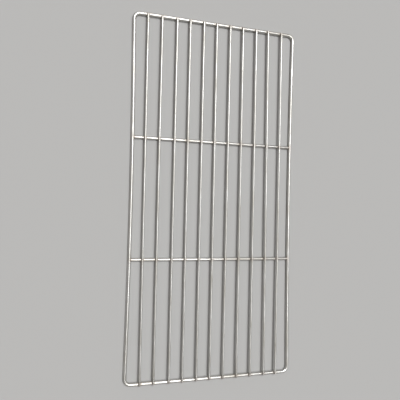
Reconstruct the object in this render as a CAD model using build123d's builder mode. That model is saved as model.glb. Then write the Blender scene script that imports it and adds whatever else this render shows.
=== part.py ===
from build123d import *
import os
from math import floor

# Wire rack of a heated food display, in millimetres, lying flat.
# +X is to the right, +Y along the length to the back, +Z up.
# The origin is under the middle of the rack, on the surface that the frame rests on.

# Perimeter frame: one wire bent into a closed rectangle
frame_length = 630.0  # over the outsides of the two end wires
frame_width = 305.0  # over the outsides of the two side wires, where they would meet the end wires
frame_wire = 6.0  # diameter
corner_inside_radius = 7.0  # inside of each bend
side_bow = 3.0  # a side wire is drawn in by this much at the middle of its length

# Cross wires: they run under the rods from one side wire to the other
cross_wire = 5.0  # diameter
cross_from_back = 211.0  # from the axis of the back end wire
cross_from_front = 207.0  # from the axis of the front end wire

# Rods: they run lengthwise over the end wires and the cross wires
rod_wire = 4.0  # diameter
rod_pitch = 25.0
rod_side_room = 15.0  # least distance between the axes of a side wire and of the rod beside it
rod_back_inset = 2.5  # a rod stops this far short of the outside of the back end wire
rod_front_inset = 1.0  # and this far short of the outside of the front end wire
rod_end_round = 0.3  # worn edge of the cut end

# Welds: how far a rod sinks into the wire below it
frame_set_down = 0.6
cross_set_down = 0.3

# Hand-set unevenness, by the rod's number from the left
row_shift = -1.5  # the whole row of rods sits this far to the right of the middle
rod_steps = {1: 1.0, 3: 1.5, 6: -1.0, 7: -1.0, 8: -1.0}  # to the right of the rod's place in the row
rod_leans = {1: 1.5, 7: -1.0, 10: 3.0, 11: -1.0}  # front end to the right of the back end

# Places that follow from the sizes above
frame_axis_height = frame_wire / 2
side_axis = (frame_width - frame_wire) / 2
side_axis_middle = side_axis - side_bow
end_axis = (frame_length - frame_wire) / 2
corner_axis_radius = corner_inside_radius + frame_wire / 2
rod_underside = frame_wire - frame_set_down
rod_axis_height = rod_underside + rod_wire / 2
rod_back_end = frame_length / 2 - rod_back_inset
rod_front_end = rod_front_inset - frame_length / 2
rod_count = floor(2 * (side_axis_middle - rod_side_room) / rod_pitch) + 1
first_rod = row_shift - (rod_count - 1) * rod_pitch / 2
cross_axis_height = rod_underside + cross_set_down - cross_wire / 2
cross_places = {
    "cross_wire_back": end_axis - cross_from_back,
    "cross_wire_front": cross_from_front - end_axis,
}

os.makedirs("parts", exist_ok=True)

# Perimeter frame, swept round its bent centre line
with BuildPart() as perimeter_frame:
    with BuildLine(Plane.XY.offset(frame_axis_height)) as bend_line:
        Line((-side_axis, -end_axis), (side_axis, -end_axis))
        ThreePointArc((side_axis, -end_axis), (side_axis_middle, 0), (side_axis, end_axis))
        Line((side_axis, end_axis), (-side_axis, end_axis))
        ThreePointArc((-side_axis, end_axis), (-side_axis_middle, 0), (-side_axis, -end_axis))
        fillet(bend_line.vertices(), corner_axis_radius)
    with BuildSketch(Plane(origin=bend_line.wire() @ 0, z_dir=bend_line.wire() % 0)):
        Circle(frame_wire / 2)
    sweep(path=bend_line.wire())
perimeter_frame.part.label = "perimeter_frame"
export_step(perimeter_frame.part, "parts/perimeter_frame.step")

# Cross wires, their ends hollowed to sit against the side wires
cross_wires = []
for name, along in cross_places.items():
    with BuildPart() as cross:
        with BuildSketch(Plane.YZ):
            with Locations((along, cross_axis_height)):
                Circle(cross_wire / 2)
        extrude(amount=side_axis_middle, both=True)
        add(perimeter_frame.part, mode=Mode.SUBTRACT)
    cross.part.label = name
    export_step(cross.part, f"parts/{name}.step")
    cross_wires.append(cross.part)

# Rods, each with a saddle where it sinks into a wire below
for number in range(1, rod_count + 1):
    middle = first_rod + (number - 1) * rod_pitch + rod_steps.get(number, 0.0)
    lean = rod_leans.get(number, 0.0)
    back = Vector(middle - lean / 2, rod_back_end, rod_axis_height)
    front = Vector(middle + lean / 2, rod_front_end, rod_axis_height)
    with BuildPart() as rod:
        with BuildSketch(Plane(origin=front, z_dir=back - front)):
            Circle(rod_wire / 2)
        extrude(amount=(back - front).length)
        fillet(rod.edges().filter_by(GeomType.CIRCLE), rod_end_round)
        add(perimeter_frame.part, mode=Mode.SUBTRACT)
        add(cross_wires, mode=Mode.SUBTRACT)
    rod.part.label = f"rod_{number:02d}"
    export_step(rod.part, f"parts/rod_{number:02d}.step")
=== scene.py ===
from math import atan2, ceil, copysign, exp, pi, radians, sin, sqrt

import bpy
from bpy.props import FloatProperty, FloatVectorProperty, IntProperty, PointerProperty
from mathutils import Matrix, Vector


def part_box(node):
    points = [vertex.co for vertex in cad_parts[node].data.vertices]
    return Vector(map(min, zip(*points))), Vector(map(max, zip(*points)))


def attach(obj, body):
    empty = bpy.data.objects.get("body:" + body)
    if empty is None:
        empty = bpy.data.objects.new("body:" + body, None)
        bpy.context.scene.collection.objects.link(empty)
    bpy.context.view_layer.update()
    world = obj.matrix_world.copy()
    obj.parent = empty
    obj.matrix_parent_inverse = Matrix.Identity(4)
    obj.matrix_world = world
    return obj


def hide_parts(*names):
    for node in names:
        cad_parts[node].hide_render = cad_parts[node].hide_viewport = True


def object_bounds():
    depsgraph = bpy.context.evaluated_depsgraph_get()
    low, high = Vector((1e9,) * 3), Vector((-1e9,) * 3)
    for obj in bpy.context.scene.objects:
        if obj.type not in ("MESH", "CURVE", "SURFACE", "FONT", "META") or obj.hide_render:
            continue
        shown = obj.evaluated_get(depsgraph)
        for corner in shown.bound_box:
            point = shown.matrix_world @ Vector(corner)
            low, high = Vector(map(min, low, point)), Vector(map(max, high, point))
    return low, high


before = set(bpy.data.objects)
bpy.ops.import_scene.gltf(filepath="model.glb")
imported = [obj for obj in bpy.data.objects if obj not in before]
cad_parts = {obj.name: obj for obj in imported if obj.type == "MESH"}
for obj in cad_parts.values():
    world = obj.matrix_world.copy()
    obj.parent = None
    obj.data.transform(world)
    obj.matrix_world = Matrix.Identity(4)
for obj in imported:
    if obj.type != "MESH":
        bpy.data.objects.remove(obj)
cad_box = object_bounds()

bl_info = {
    "name": "Wire Rack Shelf",
    "version": (1, 0, 0),
    "blender": (4, 5, 0),
    "location": "3D View > Sidebar > Wire Rack",
    "description": "Models the welded wire shelf of a heated food display around its solids",
    "category": "Object",
}

BODY = "root"
FRAME_NODE = "perimeter_frame"
CROSS_NODES = sorted(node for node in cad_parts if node.startswith("cross_wire"))
ROD_NODES = sorted(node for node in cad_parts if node.startswith("rod_"))
X, Y = range(2)
TENTH_OF_MM = 4  # decimals of a metre, for sizes that are read from flat-sided solids
END_SLICE = 0.0002  # depth of the slice of a solid that counts as its end


def thickness(node):
    """A lying wire's diameter, which is its height."""
    low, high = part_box(node)
    return round(high.z - low.z, TENTH_OF_MM)


def crown(node):
    """The height of a lying wire's highest line."""
    return round(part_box(node)[1].z, TENTH_OF_MM)


def bow(node):
    """How far the sides of the lying frame are drawn in between its ends."""
    _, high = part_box(node)
    points = [vertex.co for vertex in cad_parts[node].data.vertices]
    inside = min(abs(point.x) for point in points if abs(point.y) < high.y / 2)
    return round(high.x - thickness(node) - inside, TENTH_OF_MM)


class RackSizes(bpy.types.PropertyGroup):
    """Sizes of the wires and of their welds"""

    frame_wire: FloatProperty(
        name="Frame wire",
        description="Diameter of the wire that is bent into the outer rectangle",
        default=thickness(FRAME_NODE),
        subtype="DISTANCE",
        unit="LENGTH",
    )
    cross_wire: FloatProperty(
        name="Cross wire",
        description="Diameter of the wires under the rods",
        default=thickness(CROSS_NODES[0]),
        subtype="DISTANCE",
        unit="LENGTH",
    )
    rod_wire: FloatProperty(
        name="Rod wire",
        description="Diameter of the rods along the length",
        default=thickness(ROD_NODES[0]),
        subtype="DISTANCE",
        unit="LENGTH",
    )
    bend_radius: FloatProperty(
        name="Bend radius",
        description="Radius of the frame's bends, at the middle of its wire",
        default=0.010,
        subtype="DISTANCE",
        unit="LENGTH",
    )
    side_bow: FloatProperty(
        name="Side bow",
        description="How far the frame's side wires are drawn in at the middle of their length",
        default=bow(FRAME_NODE),
        subtype="DISTANCE",
        unit="LENGTH",
    )
    end_rounding: FloatProperty(
        name="End rounding",
        description="Worn edge of a rod's cut end",
        default=0.0003,
        subtype="DISTANCE",
        unit="LENGTH",
    )
    weld_lip: FloatProperty(
        name="Weld lip",
        description="How far the squeezed-out metal of a weld stands past the wires' contact",
        default=0.0007,
        subtype="DISTANCE",
        unit="LENGTH",
    )
    weld_height: FloatProperty(
        name="Weld height",
        description="Thickness of the squeezed-out metal at its middle",
        default=0.0015,
        subtype="DISTANCE",
        unit="LENGTH",
    )
    around: IntProperty(
        name="Faces around",
        description="Faces around a wire",
        default=32,
        min=8,
    )
    loop_gap: FloatProperty(
        name="Loop gap",
        description="Distance between edge loops along a plain stretch of wire",
        default=0.008,
        subtype="DISTANCE",
        unit="LENGTH",
    )


class SteelFinish(bpy.types.PropertyGroup):
    """Colours and gloss of the drawn steel"""

    bright: FloatVectorProperty(
        name="Bright steel",
        description="Colour of clean drawn wire",
        default=(0.69, 0.688, 0.665),
        subtype="COLOR",
        min=0.0,
        max=1.0,
    )
    dull: FloatVectorProperty(
        name="Dull steel",
        description="Colour where handling and heat have dulled the wire",
        default=(0.565, 0.553, 0.51),
        subtype="COLOR",
        min=0.0,
        max=1.0,
    )
    heat_tint: FloatVectorProperty(
        name="Heat tint",
        description="Colour of the steel beside a weld",
        default=(0.42, 0.34, 0.28),
        subtype="COLOR",
        min=0.0,
        max=1.0,
    )
    heat_reach: FloatProperty(
        name="Heat reach",
        description="How far the tint spreads from a weld",
        default=0.005,
        subtype="DISTANCE",
        unit="LENGTH",
    )
    frame_roughness: FloatProperty(
        name="Frame roughness",
        description="Roughness of the frame wire where it is clean",
        default=0.30,
        subtype="FACTOR",
        min=0.0,
        max=1.0,
    )
    cross_roughness: FloatProperty(
        name="Cross wire roughness",
        description="Roughness of the cross wires where they are clean",
        default=0.30,
        subtype="FACTOR",
        min=0.0,
        max=1.0,
    )
    rod_roughness: FloatProperty(
        name="Rod roughness",
        description="Roughness of the rods where they are clean",
        default=0.34,
        subtype="FACTOR",
        min=0.0,
        max=1.0,
    )


class StudioSetup(bpy.types.PropertyGroup):
    """Floor, light and camera"""

    floor_colour: FloatVectorProperty(
        name="Floor",
        description="Colour of the pale floor",
        default=(0.48, 0.48, 0.475),
        subtype="COLOR",
        min=0.0,
        max=1.0,
    )
    wall_colour: FloatVectorProperty(
        name="Walls",
        description="Pale surroundings near the horizon",
        default=(0.48, 0.48, 0.48),
        subtype="COLOR",
        min=0.0,
        max=1.0,
    )
    ceiling_back: FloatVectorProperty(
        name="Ceiling at the back",
        description="Surroundings overhead, towards the back",
        default=(0.27, 0.26, 0.25),
        subtype="COLOR",
        min=0.0,
        max=1.0,
    )
    ceiling_front: FloatVectorProperty(
        name="Ceiling at the front",
        description="Surroundings overhead, towards the front",
        default=(0.17, 0.155, 0.145),
        subtype="COLOR",
        min=0.0,
        max=1.0,
    )
    back_light_from: FloatVectorProperty(
        name="Main light from",
        description="Where the main soft light comes from, over the back",
        default=(0.06, 0.42, 1.0),
        subtype="DIRECTION",
    )
    back_light_strength: FloatProperty(
        name="Main light strength",
        description="Strength of the main soft light",
        default=1.36,
    )
    back_light_width: FloatProperty(
        name="Main light width",
        description="How wide the main soft light looks from the rack",
        default=radians(20.0),
        subtype="ANGLE",
        unit="ROTATION",
    )
    right_light_from: FloatVectorProperty(
        name="Right light from",
        description="Where the widest soft light comes from, over the right side",
        default=(0.28, 0.06, 1.0),
        subtype="DIRECTION",
    )
    right_light_strength: FloatProperty(
        name="Right light strength",
        description="Strength of the widest soft light",
        default=0.92,
    )
    right_light_width: FloatProperty(
        name="Right light width",
        description="How wide the widest soft light looks from the rack",
        default=radians(30.0),
        subtype="ANGLE",
        unit="ROTATION",
    )
    front_light_from: FloatVectorProperty(
        name="Front light from",
        description="Where the weakest soft light comes from, over the front",
        default=(0.18, -0.34, 1.0),
        subtype="DIRECTION",
    )
    front_light_strength: FloatProperty(
        name="Front light strength",
        description="Strength of the weakest soft light",
        default=0.36,
    )
    front_light_width: FloatProperty(
        name="Front light width",
        description="How wide the weakest soft light looks from the rack",
        default=radians(19.0),
        subtype="ANGLE",
        unit="ROTATION",
    )
    camera_place: FloatVectorProperty(
        name="Camera place",
        description="Where the camera stands, above the left side",
        default=(-0.26504, -0.02337, 0.77180),
        subtype="TRANSLATION",
        unit="LENGTH",
    )
    camera_aim: FloatVectorProperty(
        name="Camera aim",
        description="Direction in which the camera looks",
        default=(0.2971, 0.0271, -0.9545),
        subtype="DIRECTION",
    )
    camera_up: FloatVectorProperty(
        name="Camera up",
        description="Direction that is up in the picture",
        default=(-0.0304, 0.9994, 0.0189),
        subtype="DIRECTION",
    )
    lens: FloatProperty(
        name="Lens",
        description="Focal length in millimetres on a sensor 36 mm wide",
        default=41.4,
    )


# Places that follow from the solids

def rod_line(node):
    """Front and back end of a rod's centre line."""
    low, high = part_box(node)
    height = crown(node) - thickness(node) / 2
    points = [vertex.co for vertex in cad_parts[node].data.vertices]
    ends = []
    for place in (low.y, high.y):
        across = [point.x for point in points if abs(point.y - place) < END_SLICE]
        ends.append(Vector(((min(across) + max(across)) / 2, place, height)))
    return ends


def point_over(node, along):
    """The point of a rod's centre line at this place along the length."""
    front, back = rod_line(node)
    return front.lerp(back, (along - front.y) / (back.y - front.y))


def frame_axes(sizes):
    """Half the width, half the length and the height of the frame wire's centre line."""
    low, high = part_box(FRAME_NODE)
    half_width = round((high.x - low.x - sizes.frame_wire) / 2, TENTH_OF_MM)
    half_length = round((high.y - low.y - sizes.frame_wire) / 2, TENTH_OF_MM)
    return half_width, half_length, crown(FRAME_NODE) - sizes.frame_wire / 2


def side_line(sizes):
    """A function from a place along the length to a side wire's distance from the middle there."""
    half_width, half_length, _ = frame_axes(sizes)
    bends = half_length - sizes.bend_radius
    return lambda along: half_width - sizes.side_bow * (1 - (along / bends) ** 2)


def cross_place(node):
    """Where a cross wire lies along the length."""
    low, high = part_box(node)
    return round((low.y + high.y) / 2, TENTH_OF_MM)


def rod_welds(sizes, along):
    """Middles of the welds between the rods and the wire that crosses under them here."""
    underside = crown(ROD_NODES[0]) - sizes.rod_wire
    return [Vector((point_over(node, along).x, along, underside)) for node in ROD_NODES]


def side_welds(sizes):
    """Middles of the welds between the cross wires and the sides of the frame."""
    side = side_line(sizes)
    height = crown(CROSS_NODES[0]) - sizes.cross_wire / 2
    welds = []
    for along in (cross_place(node) for node in CROSS_NODES):
        reach = side(along) - sizes.frame_wire / 2
        welds += [Vector((-reach, along, height)), Vector((reach, along, height))]
    return welds


def all_welds(sizes):
    """Middles of every weld on the rack."""
    _, half_length, _ = frame_axes(sizes)
    crossings = [half_length, -half_length] + [cross_place(node) for node in CROSS_NODES]
    return side_welds(sizes) + [weld for along in crossings for weld in rod_welds(sizes, along)]


# Steps that every wire shares

LOOPS_BY_A_WELD = (-0.007, -0.0045, -0.0028, -0.0014, 0.0, 0.0014, 0.0028, 0.0045, 0.007)
CLOSEST_LOOPS = 1 / 8  # least distance between two edge loops, as a share of the usual gap
FACING_X = (0.0, pi / 2, 0.0)  # turns a flat ring to face along the width
FACING_Y = (pi / 2, 0.0, 0.0)  # and along the length
MERGE_DISTANCE = 1e-6  # points as close as this become one
SLIVER = 5e-6  # edges and faces as thin as this are dissolved
SMOOTH_ANGLE = pi / 5  # edges sharper than this stay sharp


def stops_between(start, end, welds, gap):
    """Places of the edge loops from start to end: even, and closer together beside each weld."""
    low, high = min(start, end), max(start, end)
    count = ceil((high - low) / gap)
    even = [low + (high - low) * step / count for step in range(1, count)]
    close = [weld + offset for weld in welds for offset in LOOPS_BY_A_WELD]
    least = gap * CLOSEST_LOOPS
    stops = [low]
    for place in sorted(even + close):
        if stops[-1] + least < place < high - least:
            stops.append(place)
    stops.append(high)
    return stops if end > start else stops[::-1]


def rename(piece, name):
    """Gives a piece and its mesh the same name."""
    piece.name = name
    piece.data.name = name


def pick(piece):
    """Makes a piece the only one that operators act on."""
    bpy.ops.object.select_all(action="DESELECT")
    piece.select_set(True)
    bpy.context.view_layer.objects.active = piece


def start_ring(name, radius, around, place, turn):
    """A new piece in edit mode that is only a wire's round section, selected."""
    bpy.ops.object.select_all(action="DESELECT")
    bpy.ops.mesh.primitive_circle_add(vertices=around, radius=radius, location=place, rotation=turn)
    piece = bpy.context.object
    rename(piece, name)
    bpy.ops.object.transform_apply(location=True, rotation=True, scale=True)
    bpy.ops.object.mode_set(mode="EDIT")
    bpy.ops.mesh.select_all(action="SELECT")
    return piece


def draw_through(points):
    """Extrudes the selected ring from point to point."""
    for here, there in zip(points, points[1:]):
        bpy.ops.mesh.extrude_region_move(TRANSFORM_OT_translate={"value": there - here})


def close_mesh():
    """Merges what meets, turns the faces outwards and leaves edit mode."""
    bpy.ops.mesh.select_all(action="SELECT")
    bpy.ops.mesh.remove_doubles(threshold=MERGE_DISTANCE)
    bpy.ops.mesh.normals_make_consistent(inside=False)
    bpy.ops.object.mode_set(mode="OBJECT")


def select_ends(piece, direction, places):
    """Selects the edges of a straight wire's two end rings, in edit mode."""
    bpy.ops.mesh.select_all(action="DESELECT")
    bpy.ops.object.mode_set(mode="OBJECT")
    points = piece.data.vertices
    for edge in piece.data.edges:
        at_end = [
            all(abs(points[index].co[direction] - place) < END_SLICE for index in edge.vertices)
            for place in places
        ]
        edge.select = any(at_end)
    bpy.ops.object.mode_set(mode="EDIT")
    bpy.ops.mesh.select_mode(type="EDGE")


def cap_ends(piece, direction, places):
    """Closes a straight wire's two open ends with a face each."""
    for place in places:
        select_ends(piece, direction, [place])
        bpy.ops.mesh.edge_face_add()


def cut_away(piece, others):
    """Cuts the seat of each other wire out of a piece."""
    pick(piece)
    for other in others:
        cut = piece.modifiers.new("seat", "BOOLEAN")
        cut.operation = "DIFFERENCE"
        cut.solver = "EXACT"
        cut.object = other
        bpy.ops.object.modifier_apply(modifier=cut.name)
    bpy.ops.object.mode_set(mode="EDIT")
    bpy.ops.mesh.select_all(action="SELECT")
    bpy.ops.mesh.dissolve_degenerate(threshold=SLIVER)
    close_mesh()


def copy_of(piece, name, matrix):
    """A copy of a finished piece with its own mesh, moved in the mesh itself."""
    copy = piece.copy()
    copy.data = piece.data.copy()
    copy.data.transform(matrix)
    rename(copy, name)
    bpy.context.scene.collection.objects.link(copy)
    return copy


def smooth(piece):
    """Smooth shading with sharp edges where faces meet at a corner."""
    pick(piece)
    bpy.ops.object.shade_smooth_by_angle(angle=SMOOTH_ANGLE)


def deliver(piece, material, slot, *nodes):
    """Gives a finished piece its steel and ties it to the frame."""
    if not piece.data.polygons:
        raise RuntimeError(f"{piece.name} came out empty")
    piece.data.materials.clear()
    piece.data.materials.append(material)
    smooth(piece)
    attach(piece, BODY)
    if nodes:
        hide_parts(*nodes)


# What the steel needs to know of each point of a wire

def straight_station(start, direction):
    """For a straight wire: a function to a point's place along, beside and above it, and its direction."""
    direction = direction.normalized()
    beside = direction.cross(Vector((0, 0, 1))).normalized()

    def station(point):
        offset = point - start
        return Vector((offset.dot(direction), offset.dot(beside), offset.z)), direction

    return station


def bent_station(sizes):
    """The same for the frame wire, clockwise from the middle of the left side, and its length all round."""
    half_width, half_length, height = frame_axes(sizes)
    side = side_line(sizes)
    bend = sizes.bend_radius
    core_x, core_y = half_width - bend, half_length - bend

    def station(point):
        across = point.x
        if abs(point.y) < core_y:
            across += copysign(half_width - side(point.y), across)
        near_x = min(max(across, -core_x), core_x)
        near_y = min(max(point.y, -core_y), core_y)
        outward = Vector((across - near_x, point.y - near_y, 0.0))
        if near_y == core_y:
            straight = core_y + near_x + core_x
        elif near_x == core_x:
            straight = 2 * core_y + 2 * core_x - near_y
        elif near_y == -core_y:
            straight = 3 * core_y + 3 * core_x - near_x
        else:
            straight = near_y if near_y >= 0 else 4 * core_y + 4 * core_x + near_y
        turned = atan2(outward.y, -outward.x) % (2 * pi)
        if near_x == -core_x and point.y < 0 and turned < pi:
            turned = 2 * pi
        along = straight + bend * turned
        beside = outward.length - bend
        ahead = Vector((outward.y, -outward.x, 0.0)).normalized()
        return Vector((along, beside, point.z - height)), ahead

    return station, 4 * core_x + 4 * core_y + 2 * pi * bend


WIRE_MARKS = (
    ("wire_run", "FLOAT_VECTOR", "CORNER"),
    ("wire_axis", "FLOAT_VECTOR", "POINT"),
    ("weld_heat", "FLOAT", "POINT"),
)


def mark_wire(piece, station, welds, heat_reach, round_trip=0.0):
    """Stores each point's place along and around its wire, the wire's direction and the welds' heat."""
    mesh = piece.data
    for name, kind, domain in WIRE_MARKS:
        if name in mesh.attributes:
            mesh.attributes.remove(mesh.attributes[name])
        mesh.attributes.new(name, kind, domain)
    run, ahead, heat = (mesh.attributes[name] for name, _, _ in WIRE_MARKS)
    places = []
    for vertex in mesh.vertices:
        place, direction = station(vertex.co)
        places.append(place)
        ahead.data[vertex.index].vector = direction
        nearest = min((vertex.co - weld).length for weld in welds)
        heat.data[vertex.index].value = exp(-((nearest / heat_reach) ** 2))
    for face in mesh.polygons:
        furthest = max(places[index].x for index in face.vertices)
        for corner in face.loop_indices:
            place = places[mesh.loops[corner].vertex_index].copy()
            if furthest - place.x > round_trip / 2 > 0:
                place.x += round_trip
            run.data[corner].vector = place


# Steel

# Patterns: turns of the noise for each metre along, beside and above, and its detail
DRAW_LINES = ((14.0, 5200.0, 5200.0), 2.0)
DRAW_BANDS = ((5.0, 620.0, 620.0), 3.0)
SCUFFS = ((160.0, 900.0, 900.0), 4.0)
CLOUDS = ((24.0, 24.0, 24.0), 4.0)
WELD_GRAINS = ((900.0, 900.0, 900.0), 3.0)
WELD_CLOUDS = ((260.0, 260.0, 260.0), 3.0)

# Ranges of a pattern that are spread from none to all
FULL = (0.0, 1.0)
MOST_NOISE = (0.3, 0.7)
SCUFFED = (0.60, 0.72)
CLOUDED = (0.42, 0.68)
WELD_CLOUDED = (0.35, 0.65)

# What the patterns do to the steel
BAND_TONES = (0.86, 1.0)
HEAT_SHARE = (0.0, 0.55)
LINE_ROUGHNESS = 0.05  # up and down from the wire's own
CLOUD_ROUGHNESS = (0.0, 0.10)
SCUFF_ROUGHNESS = (0.0, 0.12)
HEAT_ROUGHNESS = (0.0, 0.10)
WELD_ROUGHNESS = (0.34, 0.5)
LINE_BUMP = {"Strength": 0.35, "Distance": 0.00002}
WELD_BUMP = {"Strength": 0.5, "Distance": 0.00006}
ANISOTROPY = 0.6
ANISOTROPY_TURN = 0.25  # a quarter turn from the wire's direction


def feed(tree, socket, value):
    """Sets an input to a value, or links it to another node's output."""
    if isinstance(value, bpy.types.NodeSocket):
        tree.links.new(value, socket)
    else:
        socket.default_value = value


def add_node(tree, kind, **inputs):
    """A shader node with some of its inputs set, each to a value or to another node's output."""
    node = tree.nodes.new(kind)
    for name, value in inputs.items():
        feed(tree, node.inputs[name.replace("_", " ")], value)
    return node


def attribute(tree, name, output):
    """An attribute of the mesh."""
    node = tree.nodes.new("ShaderNodeAttribute")
    node.attribute_name = name
    return node.outputs[output]


def noise(tree, vector, pattern):
    """Noise from 0 to 1, stretched and detailed as its pattern says."""
    scale, detail = pattern
    placed = add_node(tree, "ShaderNodeMapping", Vector=vector, Scale=scale).outputs["Vector"]
    node = add_node(tree, "ShaderNodeTexNoise", Vector=placed, Scale=1.0, Detail=detail)
    return node.outputs["Fac"]


def spread(tree, value, source, result=FULL):
    """A value's source range, stretched to the result range and held there."""
    node = add_node(
        tree,
        "ShaderNodeMapRange",
        Value=value,
        From_Min=source[0],
        From_Max=source[1],
        To_Min=result[0],
        To_Max=result[1],
    )
    return node.outputs["Result"]


def blend(tree, factor, first, second, kind="MIX"):
    """One colour mixed into another."""
    node = tree.nodes.new("ShaderNodeMix")
    node.data_type = "RGBA"
    node.blend_type = kind
    colours = [socket for socket in node.inputs if socket.type == "RGBA"]
    for socket, value in zip([node.inputs[0], *colours], (factor, first, second)):
        feed(tree, socket, value)
    return next(socket for socket in node.outputs if socket.type == "RGBA")


def total(tree, *values):
    """The sum of several values."""
    result = values[0]
    for value in values[1:]:
        node = tree.nodes.new("ShaderNodeMath")
        tree.links.new(result, node.inputs[0])
        tree.links.new(value, node.inputs[1])
        result = node.outputs["Value"]
    return result


def opaque(colour):
    """A colour with full alpha."""
    return (*colour, 1.0)


def new_steel(name):
    """A material with a metal shader, its node tree and that shader."""
    material = bpy.data.materials.new(name)
    material.use_nodes = True
    shader = material.node_tree.nodes["Principled BSDF"]
    shader.inputs["Metallic"].default_value = 1.0
    return material, material.node_tree, shader


def drawn_steel(name, finish, roughness):
    """Steel wire pulled through a die: fine lines along it, dulled patches, scuffs and weld tint."""
    material, tree, shader = new_steel(name)
    run = attribute(tree, "wire_run", "Vector")
    place = tree.nodes.new("ShaderNodeTexCoord").outputs["Object"]
    heat = attribute(tree, "weld_heat", "Fac")
    lines = noise(tree, run, DRAW_LINES)
    bands = noise(tree, run, DRAW_BANDS)
    scuffs = spread(tree, noise(tree, run, SCUFFS), SCUFFED)
    clouds = spread(tree, noise(tree, place, CLOUDS), CLOUDED)
    colour = blend(tree, clouds, opaque(finish.bright), opaque(finish.dull))
    tone = spread(tree, bands, MOST_NOISE, BAND_TONES)
    shade = add_node(tree, "ShaderNodeCombineColor", Red=tone, Green=tone, Blue=tone)
    colour = blend(tree, 1.0, colour, shade.outputs["Color"], "MULTIPLY")
    tint = spread(tree, heat, FULL, HEAT_SHARE)
    colour = blend(tree, tint, colour, opaque(finish.heat_tint))
    tree.links.new(colour, shader.inputs["Base Color"])
    rough = total(
        tree,
        spread(tree, lines, MOST_NOISE, (roughness - LINE_ROUGHNESS, roughness + LINE_ROUGHNESS)),
        spread(tree, clouds, FULL, CLOUD_ROUGHNESS),
        spread(tree, scuffs, FULL, SCUFF_ROUGHNESS),
        spread(tree, heat, FULL, HEAT_ROUGHNESS),
    )
    tree.links.new(rough, shader.inputs["Roughness"])
    bump = add_node(tree, "ShaderNodeBump", Height=total(tree, lines, bands), **LINE_BUMP)
    tree.links.new(bump.outputs["Normal"], shader.inputs["Normal"])
    shader.inputs["Anisotropic"].default_value = ANISOTROPY
    shader.inputs["Anisotropic Rotation"].default_value = ANISOTROPY_TURN
    tree.links.new(attribute(tree, "wire_axis", "Vector"), shader.inputs["Tangent"])
    return material


def weld_steel(name, finish):
    """Metal that was squeezed out of a weld: dull, tinted in patches and uneven."""
    material, tree, shader = new_steel(name)
    place = tree.nodes.new("ShaderNodeTexCoord").outputs["Object"]
    grains = noise(tree, place, WELD_GRAINS)
    clouds = spread(tree, noise(tree, place, WELD_CLOUDS), WELD_CLOUDED)
    colour = blend(tree, clouds, opaque(finish.dull), opaque(finish.heat_tint))
    tree.links.new(colour, shader.inputs["Base Color"])
    tree.links.new(spread(tree, grains, MOST_NOISE, WELD_ROUGHNESS), shader.inputs["Roughness"])
    bump = add_node(tree, "ShaderNodeBump", Height=grains, **WELD_BUMP)
    tree.links.new(bump.outputs["Normal"], shader.inputs["Normal"])
    return material


# Pieces

BEND_STEPS = 14  # faces along a bend
END_ROUNDING_STEPS = 3  # faces along the rounding of a rod's end
BEAD_SEGMENTS = 24
BEAD_RINGS = 12
BEAD_UNEVENNESS = 0.16  # how far the points of a bead with a radius of one are moved
BEAD_SEED = 7
BEAD_SMOOTHING = 0.5
BEAD_SMOOTHING_TIMES = 2
BEAD_SIZE_SPREAD = 0.1  # share by which the beads of a row are larger or smaller
BEAD_SIZE_STEP = 2.4  # angle from one bead's size to the next one's
BEAD_ROW_STEP = 90.0  # angle for each metre from row to row
COLLAR_DEPTH = 1 / 3  # how far a cross wire's collar reaches, as a share of the frame wire


class RACK_OT_perimeter_frame(bpy.types.Operator):
    """Bends one wire into the closed outer rectangle"""

    bl_idname = "rack.perimeter_frame"
    bl_label = "Perimeter frame"

    def execute(self, context):
        sizes, finish = context.scene.rack_sizes, context.scene.rack_finish
        half_width, half_length, height = frame_axes(sizes)
        side = side_line(sizes)
        bend = sizes.bend_radius
        core_x, core_y = half_width - bend, half_length - bend
        crossings = [cross_place(node) for node in CROSS_NODES]

        def side_wire(hand, start, end):
            stops = stops_between(start, end, crossings, sizes.loop_gap)
            return [Vector((hand * side(along), along, height)) for along in stops]

        def end_wire(along, start, end):
            welds = [weld.x for weld in rod_welds(sizes, along)]
            stops = stops_between(start, end, welds, sizes.loop_gap)
            return [Vector((across, along, height)) for across in stops]

        stretches = (
            (side_wire(-1, 0.0, core_y), (-core_x, core_y)),
            (end_wire(half_length, -core_x, core_x), (core_x, core_y)),
            (side_wire(1, core_y, -core_y), (core_x, -core_y)),
            (end_wire(-half_length, core_x, -core_x), (-core_x, -core_y)),
            (side_wire(-1, -core_y, 0.0), None),
        )
        first, _ = stretches[0]
        radius = sizes.frame_wire / 2
        piece = start_ring("outer_frame_wire", radius, sizes.around, first[0], FACING_Y)
        for points, corner in stretches:
            draw_through(points)
            if corner:
                centre = (*corner, height)
                bpy.ops.mesh.spin(steps=BEND_STEPS, angle=pi / 2, center=centre, axis=(0, 0, 1))
        close_mesh()
        station, round_trip = bent_station(sizes)
        mark_wire(piece, station, all_welds(sizes), finish.heat_reach, round_trip)
        material = drawn_steel("drawn_steel_frame", finish, finish.frame_roughness)
        deliver(piece, material, "frame_steel", FRAME_NODE)
        return {"FINISHED"}


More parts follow.
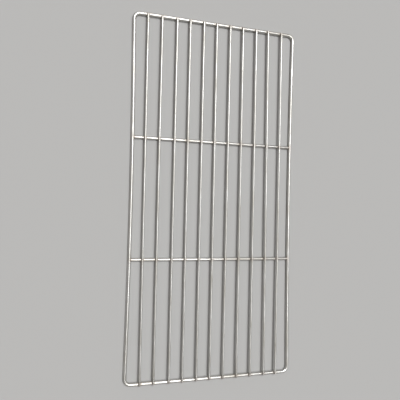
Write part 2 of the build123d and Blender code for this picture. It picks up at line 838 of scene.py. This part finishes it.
class RACK_OT_cross_wires(bpy.types.Operator):
    """Lays the two wires that carry the rods, their ends hollowed against the sides of the frame"""

    bl_idname = "rack.cross_wires"
    bl_label = "Cross wires"

    def execute(self, context):
        sizes, finish = context.scene.rack_sizes, context.scene.rack_finish
        side = side_line(sizes)
        radius = sizes.cross_wire / 2
        height = crown(CROSS_NODES[0]) - radius
        material = drawn_steel("drawn_steel_cross_wires", finish, finish.cross_roughness)
        outer = bpy.data.objects["outer_frame_wire"]
        for node in CROSS_NODES:
            along = cross_place(node)
            reach = side(along)
            rods = [weld.x for weld in rod_welds(sizes, along)]
            stops = stops_between(-reach, reach, rods, sizes.loop_gap)
            points = [Vector((across, along, height)) for across in stops]
            piece = start_ring(f"{node}_drawn", radius, sizes.around, points[0], FACING_X)
            draw_through(points)
            cap_ends(piece, X, (-reach, reach))
            close_mesh()
            cut_away(piece, [outer])
            station = straight_station(points[0], Vector((1, 0, 0)))
            mark_wire(piece, station, all_welds(sizes), finish.heat_reach)
            deliver(piece, material, "cross_steel", node)
        return {"FINISHED"}


class RACK_OT_rods(bpy.types.Operator):
    """Draws one rod with its seats on the wires below and copies it across the rack"""

    bl_idname = "rack.rods"
    bl_label = "Rods"

    def execute(self, context):
        sizes, finish = context.scene.rack_sizes, context.scene.rack_finish
        _, half_length, _ = frame_axes(sizes)
        front, back = rod_line(ROD_NODES[0])
        crossings = [-half_length, half_length] + [cross_place(node) for node in CROSS_NODES]
        stops = stops_between(front.y, back.y, crossings, sizes.loop_gap)
        points = [Vector((0.0, along, front.z)) for along in stops]
        radius = sizes.rod_wire / 2
        pattern = start_ring("rod_pattern", radius, sizes.around, points[0], FACING_Y)
        draw_through(points)
        cap_ends(pattern, Y, (front.y, back.y))
        select_ends(pattern, Y, (front.y, back.y))
        bpy.ops.mesh.bevel(offset=sizes.end_rounding, segments=END_ROUNDING_STEPS, affect="EDGES")
        close_mesh()
        wires_below = ["outer_frame_wire"] + [f"{node}_drawn" for node in CROSS_NODES]
        cut_away(pattern, [bpy.data.objects[name] for name in wires_below])
        material = drawn_steel("drawn_steel_rods", finish, finish.rod_roughness)
        welds = all_welds(sizes)
        for node in ROD_NODES:
            front, back = rod_line(node)
            lean = atan2(front.x - back.x, back.y - front.y)
            middle = point_over(node, 0.0).x
            move = Matrix.Translation((middle, 0.0, 0.0)) @ Matrix.Rotation(lean, 4, "Z")
            piece = copy_of(pattern, f"{node}_drawn", move)
            mark_wire(piece, straight_station(front, back - front), welds, finish.heat_reach)
            deliver(piece, material, "rod_steel", node)
        bpy.data.objects.remove(pattern)
        return {"FINISHED"}


class RACK_OT_welds(bpy.types.Operator):
    """Adds the metal that the welding squeezed out beside each contact"""

    bl_idname = "rack.welds"
    bl_label = "Welds"

    def execute(self, context):
        sizes, finish = context.scene.rack_sizes, context.scene.rack_finish
        material = weld_steel("weld_steel", finish)
        _, half_length, _ = frame_axes(sizes)
        frame_top = crown(FRAME_NODE)
        rows = [
            ("welds_front_end", -half_length, sizes.frame_wire, frame_top, "frame_steel"),
            ("welds_back_end", half_length, sizes.frame_wire, frame_top, "frame_steel"),
        ]
        for node in CROSS_NODES:
            along = cross_place(node)
            rows.append((f"welds_{node}", along, sizes.cross_wire, crown(node), "cross_steel"))
        bead = self.bead()
        for name, along, wire, top, slot in rows:
            beads = self.rod_beads(bead, name, sizes, along, wire, top)
            self.join(beads, name, material, slot)
        self.join(self.side_beads(bead, sizes), "welds_frame_sides", material, "frame_steel")
        bpy.data.objects.remove(bead)
        return {"FINISHED"}

    def bead(self):
        """An uneven ball with a radius of one."""
        bpy.ops.object.select_all(action="DESELECT")
        bpy.ops.mesh.primitive_uv_sphere_add(segments=BEAD_SEGMENTS, ring_count=BEAD_RINGS, radius=1.0)
        bead = bpy.context.object
        bpy.ops.object.mode_set(mode="EDIT")
        bpy.ops.mesh.select_all(action="SELECT")
        bpy.ops.transform.vertex_random(offset=BEAD_UNEVENNESS, seed=BEAD_SEED)
        bpy.ops.mesh.vertices_smooth(factor=BEAD_SMOOTHING, repeat=BEAD_SMOOTHING_TIMES)
        close_mesh()
        return bead

    def rod_beads(self, bead, name, sizes, along, wire, top):
        """The flat beads under the rods where a wire crosses below them."""
        rod_front, rod_back = (end.y for end in rod_line(ROD_NODES[0]))
        underside = crown(ROD_NODES[0]) - sizes.rod_wire
        sunk = top - underside
        half_along = sqrt(sunk * (wire - sunk))
        half_across = sqrt(sunk * (sizes.rod_wire - sunk)) + sizes.weld_lip
        first = max(along - half_along, rod_front) - sizes.weld_lip
        last = min(along + half_along, rod_back) + sizes.weld_lip
        middle = (first + last) / 2
        size = Matrix.Diagonal((half_across, (last - first) / 2, sizes.weld_height / 2, 1.0))
        beads = []
        for number, weld in enumerate(rod_welds(sizes, along)):
            place = Matrix.Translation((weld.x, middle, underside + sunk / 2))
            turn = Matrix.Rotation(number * pi, 4, "Z")
            swing = sin(BEAD_SIZE_STEP * number + BEAD_ROW_STEP * along)
            uneven = Matrix.Scale(1.0 + BEAD_SIZE_SPREAD * swing, 4)
            beads.append(copy_of(bead, f"{name}_{number}", place @ uneven @ size @ turn))
        return beads

    def side_beads(self, bead, sizes):
        """The collars round the ends of the cross wires."""
        half_cross = sizes.cross_wire / 2
        depth = sizes.frame_wire * COLLAR_DEPTH
        lip = sizes.weld_lip
        size = Matrix.Diagonal((depth, half_cross + lip, half_cross + lip / 2, 1.0))
        beads = []
        for number, weld in enumerate(side_welds(sizes)):
            place = Matrix.Translation((weld.x + copysign(lip, weld.x), weld.y, weld.z))
            turn = Matrix.Rotation(number * pi, 4, "X")
            beads.append(copy_of(bead, f"side_weld_{number}", place @ size @ turn))
        return beads

    def join(self, beads, name, material, slot):
        """Makes one piece of a row of beads."""
        bpy.ops.object.select_all(action="DESELECT")
        for bead in beads:
            bead.select_set(True)
        bpy.context.view_layer.objects.active = beads[0]
        bpy.ops.object.join()
        piece = bpy.context.object
        rename(piece, name)
        deliver(piece, material, slot)


# Stage

LIGHTS = ("back_light", "right_light", "front_light")
FLOOR_SIZE = 80.0
FLOOR_ROUGHNESS = 0.9
FLOOR_GLOSS = 0.1
FRONT_TO_BACK = (-0.5, 0.5)  # how far back a direction points, where the ceiling changes its tone
WALL_TO_CEILING = (0.12, 0.40)  # how far up a direction points, where the walls turn into the ceiling
SENSOR_WIDTH = 36.0  # in millimetres


class RACK_OT_stage(bpy.types.Operator):
    """Sets the pale floor, the soft light and the camera"""

    bl_idname = "rack.stage"
    bl_label = "Stage"

    def execute(self, context):
        studio = context.scene.rack_studio
        self.floor(studio)
        self.lights(studio)
        self.surroundings(context.scene, studio)
        self.camera(context.scene, studio)
        context.scene.view_settings.view_transform = "Standard"
        return {"FINISHED"}

    def floor(self, studio):
        """A wide pale floor at the height that the rack rests on."""
        bpy.ops.object.select_all(action="DESELECT")
        bpy.ops.mesh.primitive_plane_add(size=FLOOR_SIZE, location=(0.0, 0.0, cad_box[0].z))
        floor = bpy.context.object
        floor.name = "floor"
        material = bpy.data.materials.new("pale_floor")
        material.use_nodes = True
        shader = material.node_tree.nodes["Principled BSDF"]
        shader.inputs["Base Color"].default_value = opaque(studio.floor_colour)
        shader.inputs["Roughness"].default_value = FLOOR_ROUGHNESS
        shader.inputs["Specular IOR Level"].default_value = FLOOR_GLOSS
        floor.data.materials.append(material)

    def lights(self, studio):
        """Three wide soft lights that are far away, so that they light the floor evenly."""
        for name in LIGHTS:
            bpy.ops.object.light_add(type="SUN")
            light = bpy.context.object
            light.name = name
            source = Vector(getattr(studio, f"{name}_from"))
            light.rotation_euler = source.to_track_quat("Z", "Y").to_euler()
            light.data.angle = getattr(studio, f"{name}_width")
            light.data.energy = getattr(studio, f"{name}_strength")

    def surroundings(self, scene, studio):
        """Pale walls all round and a ceiling that darkens towards the front."""
        world = bpy.data.worlds.new("studio")
        world.use_nodes = True
        tree = world.node_tree
        place = tree.nodes.new("ShaderNodeTexCoord").outputs["Generated"]
        direction = add_node(tree, "ShaderNodeSeparateXYZ", Vector=place)
        backward = spread(tree, direction.outputs["Y"], FRONT_TO_BACK)
        upward = spread(tree, direction.outputs["Z"], WALL_TO_CEILING)
        ceiling = blend(tree, backward, opaque(studio.ceiling_front), opaque(studio.ceiling_back))
        colour = blend(tree, upward, opaque(studio.wall_colour), ceiling)
        tree.links.new(colour, tree.nodes["Background"].inputs["Color"])
        scene.world = world

    def camera(self, scene, studio):
        """A camera over the left side, looking down across the rack."""
        aim = Vector(studio.camera_aim).normalized()
        right = aim.cross(Vector(studio.camera_up)).normalized()
        turn = Matrix((right, right.cross(aim), -aim)).transposed()
        bpy.ops.object.camera_add(location=studio.camera_place, rotation=turn.to_euler())
        camera = bpy.context.object
        camera.name = "camera"
        camera.data.sensor_width = SENSOR_WIDTH
        camera.data.lens = studio.lens
        scene.camera = camera


class RACK_PT_build(bpy.types.Panel):
    """Lists the steps that build the rack"""

    bl_label = "Wire Rack"
    bl_idname = "RACK_PT_build"
    bl_space_type = "VIEW_3D"
    bl_region_type = "UI"
    bl_category = "Wire Rack"

    def draw(self, context):
        scene = context.scene
        for step in STEPS:
            self.layout.operator(step.bl_idname)
        for group in (scene.rack_sizes, scene.rack_finish, scene.rack_studio):
            box = self.layout.box()
            for name in group.bl_rna.properties.keys():
                if name not in ("rna_type", "name"):
                    box.prop(group, name)


GROUPS = {"rack_sizes": RackSizes, "rack_finish": SteelFinish, "rack_studio": StudioSetup}
STEPS = (
    RACK_OT_perimeter_frame,
    RACK_OT_cross_wires,
    RACK_OT_rods,
    RACK_OT_welds,
    RACK_OT_stage,
)


def register():
    for group in (*GROUPS.values(), *STEPS, RACK_PT_build):
        bpy.utils.register_class(group)
    for name, group in GROUPS.items():
        setattr(bpy.types.Scene, name, PointerProperty(type=group))


def unregister():
    for name in GROUPS:
        delattr(bpy.types.Scene, name)
    for group in (RACK_PT_build, *reversed(STEPS), *GROUPS.values()):
        bpy.utils.unregister_class(group)


def main():
    register()
    bpy.ops.rack.perimeter_frame()
    bpy.ops.rack.cross_wires()
    bpy.ops.rack.rods()
    bpy.ops.rack.welds()
    bpy.ops.rack.stage()


if __name__ == "__main__":
    main()
